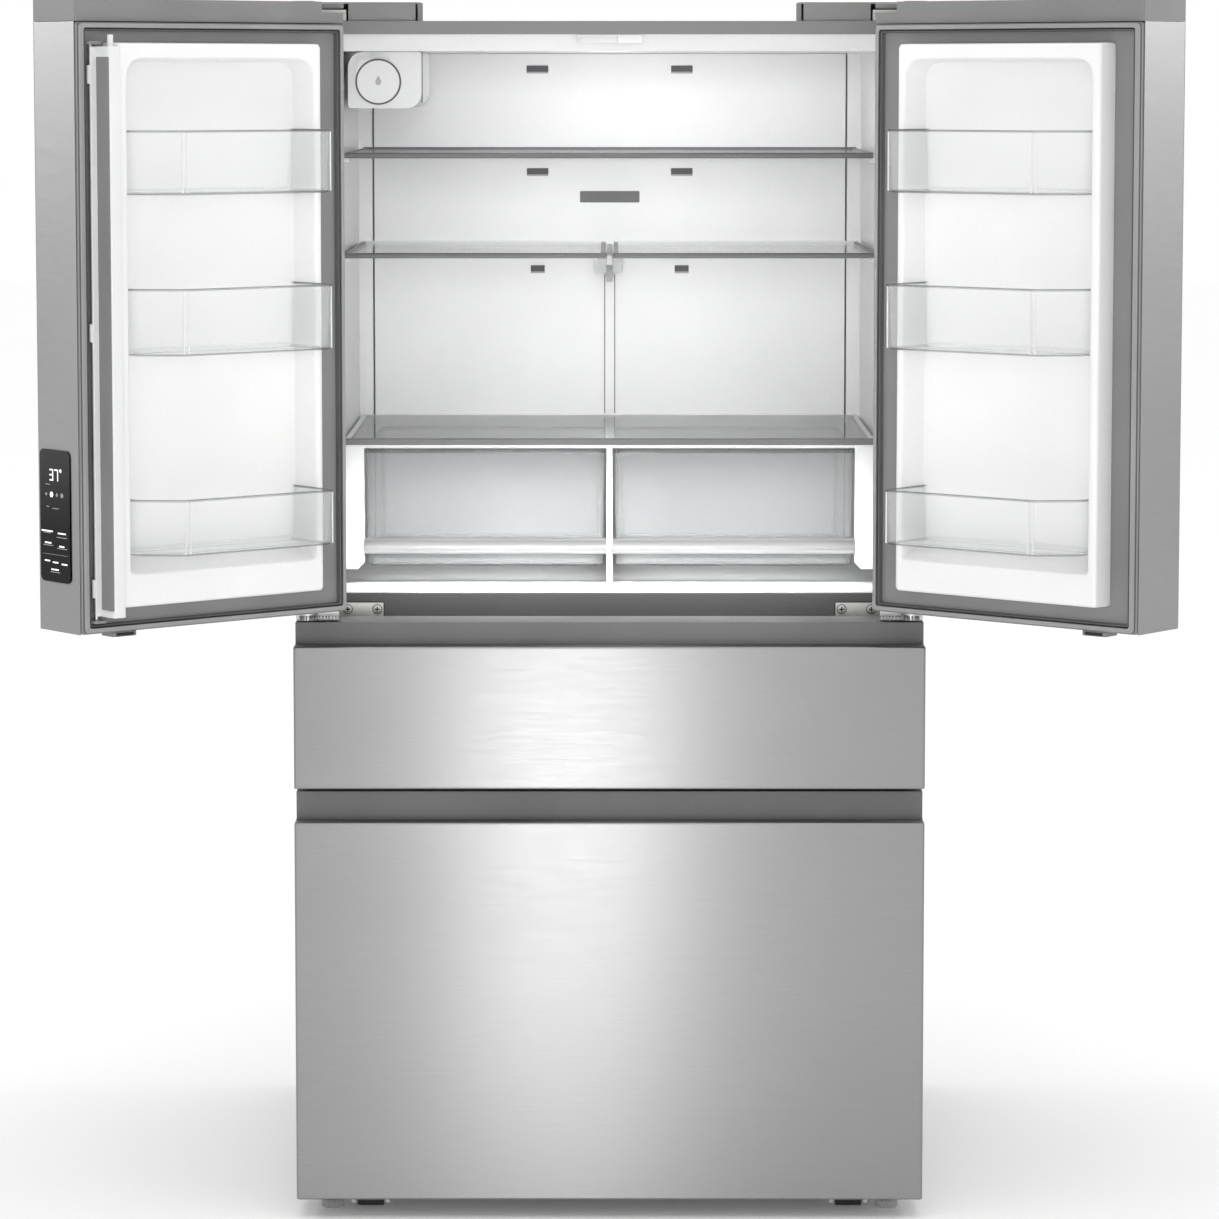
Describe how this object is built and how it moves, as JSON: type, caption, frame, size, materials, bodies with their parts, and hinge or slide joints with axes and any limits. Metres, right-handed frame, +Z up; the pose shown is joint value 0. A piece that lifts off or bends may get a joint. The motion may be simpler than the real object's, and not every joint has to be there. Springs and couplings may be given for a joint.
{
  "type": "french door refrigerator",
  "caption": "Bottom-freezer refrigerator with hinged stainless french doors standing open over a deli drawer and a freezer drawer, with shelves, crispers and clear door bins.",
  "frame": {"origin": "on the floor, in the middle of the rectangle that the refrigerator takes with its doors open", "axes": "+X to the right as seen from the front, +Y to the back, +Z up; the doors and drawers face -Y"},
  "size_m": [1.5768, 1.1776, 1.757],
  "materials": {
    "stainless": "satin",
    "painted_steel": "satin",
    "grey_plastic": "matte",
    "white_liner": "satin",
    "white_plastic": "satin",
    "clear_plastic": "gloss",
    "shelf_glass": "gloss",
    "satin_trim": "satin",
    "gasket_rubber": "matte",
    "dark_rubber": "matte",
    "zinc_steel": "satin",
    "black_enamel": "satin",
    "black_glass": "gloss",
    "galvanised_steel": "matte",
    "insulation": "matte"
  },
  "bodies": {
    "cabinet": {"cabinet_shell": "painted_steel", "back_panel": "galvanised_steel", "insulation_foam": "insulation", "fresh_food_liner": "white_liner", "lower_liner": "white_liner", "centre_rail": "painted_steel", "rear_duct_panel": "white_plastic", "shelf_bracket": "zinc_steel", "upper_shelf": "shelf_glass", "crisper_frame": "white_plastic", "crisper_cover_glass": "shelf_glass", "mullion_guide": "white_plastic", "filter_housing": "white_plastic", "compressor": "black_enamel", "condenser": "black_enamel", "hinge_cover_left": "grey_plastic", "upper_hinge_left": "zinc_steel", "lower_hinge_left": "zinc_steel", "leg_bracket_left": "zinc_steel", "half_shelf_left": "shelf_glass", "hinge_cover_right": "grey_plastic", "upper_hinge_right": "zinc_steel", "lower_hinge_right": "zinc_steel", "leg_bracket_right": "zinc_steel", "half_shelf_right": "shelf_glass"},
    "left_door": {"left_door_skin": "stainless", "left_door_top_cap": "grey_plastic", "left_door_liner": "white_liner", "left_door_gasket": "gasket_rubber", "left_door_bin_upper": "clear_plastic", "left_door_bin_middle": "clear_plastic", "left_door_bin_lower": "clear_plastic", "control_panel": "black_glass", "mullion_pivot_rod": "zinc_steel"},
    "right_door": {"right_door_skin": "stainless", "right_door_top_cap": "grey_plastic", "right_door_liner": "white_liner", "right_door_gasket": "gasket_rubber", "right_door_bin_upper": "clear_plastic", "right_door_bin_middle": "clear_plastic", "right_door_bin_lower": "clear_plastic"},
    "mullion": {"mullion_bar": "white_plastic"},
    "deli_drawer": {"deli_drawer_skin": "stainless", "deli_drawer_body": "grey_plastic", "deli_bin": "clear_plastic"},
    "freezer_drawer": {"freezer_drawer_skin": "stainless", "freezer_drawer_body": "grey_plastic", "freezer_bin": "white_plastic"},
    "freezer_basket": {"freezer_basket": "white_plastic"},
    "crisper_left": {"crisper_bin_left": "clear_plastic", "crisper_handle_left": "satin_trim"},
    "crisper_right": {"crisper_bin_right": "clear_plastic", "crisper_handle_right": "satin_trim"},
    "filter": {"filter_cartridge": "white_plastic"},
    "condenser_fan": {"condenser_fan": "black_enamel"},
    "front_roller_left": {"front_roller_left": "dark_rubber"},
    "levelling_foot_left": {"levelling_foot_left": "dark_rubber"},
    "front_roller_right": {"front_roller_right": "dark_rubber"},
    "levelling_foot_right": {"levelling_foot_right": "dark_rubber"},
    "rear_rollers": {"rear_roller_axle": "dark_rubber"}
  },
  "joints": [
    {"name": "left_door_swing", "type": "hinge", "parent": "cabinet", "child": "left_door", "pos_m": [-0.436, -0.237, 0.895], "axis": [0, 0, -1], "range_deg": [-140.5, 0]},
    {"name": "right_door_swing", "type": "hinge", "parent": "cabinet", "child": "right_door", "pos_m": [0.436, -0.237, 0.895], "axis": [0, 0, 1], "range_deg": [-140.5, 0]},
    {"name": "mullion_fold", "type": "hinge", "parent": "left_door", "child": "mullion", "pos_m": [-0.70175, -0.56234, 0.905], "axis": [0, 0, 1], "range_deg": [-90, 0]},
    {"name": "deli_drawer_slide", "type": "slide", "parent": "cabinet", "child": "deli_drawer", "axis": [0, -1, 0], "range_m": [0, 0.43]},
    {"name": "freezer_drawer_slide", "type": "slide", "parent": "cabinet", "child": "freezer_drawer", "axis": [0, -1, 0], "range_m": [0, 0.45]},
    {"name": "freezer_basket_slide", "type": "slide", "parent": "freezer_drawer", "child": "freezer_basket", "axis": [0, 1, 0], "range_m": [0, 0.075]},
    {"name": "crisper_left_slide", "type": "slide", "parent": "cabinet", "child": "crisper_left", "axis": [0, -1, 0], "range_m": [0, 0.33]},
    {"name": "crisper_right_slide", "type": "slide", "parent": "cabinet", "child": "crisper_right", "axis": [0, -1, 0], "range_m": [0, 0.33]},
    {"name": "filter_turn", "type": "hinge", "parent": "cabinet", "child": "filter", "pos_m": [-0.339, -0.051, 1.6425], "axis": [0, -1, 0], "range_deg": [0, 90]},
    {"name": "condenser_fan_spin", "type": "hinge", "parent": "cabinet", "child": "condenser_fan", "pos_m": [-0.088, 0.471, 0.13], "axis": [1, 0, 0], "continuous": true},
    {"name": "front_roller_left_spin", "type": "hinge", "parent": "cabinet", "child": "front_roller_left", "pos_m": [-0.35, -0.202, 0.013], "axis": [1, 0, 0], "continuous": true},
    {"name": "levelling_foot_left_turn", "type": "hinge", "parent": "cabinet", "child": "levelling_foot_left", "pos_m": [-0.406, -0.202, 0.01], "axis": [0, 0, 1], "continuous": true},
    {"name": "front_roller_right_spin", "type": "hinge", "parent": "cabinet", "child": "front_roller_right", "pos_m": [0.35, -0.202, 0.013], "axis": [1, 0, 0], "continuous": true},
    {"name": "levelling_foot_right_turn", "type": "hinge", "parent": "cabinet", "child": "levelling_foot_right", "pos_m": [0.406, -0.202, 0.01], "axis": [0, 0, 1], "continuous": true},
    {"name": "rear_roller_spin", "type": "hinge", "parent": "cabinet", "child": "rear_rollers", "pos_m": [0, 0.526, 0.02], "axis": [1, 0, 0], "continuous": true}
  ]
}
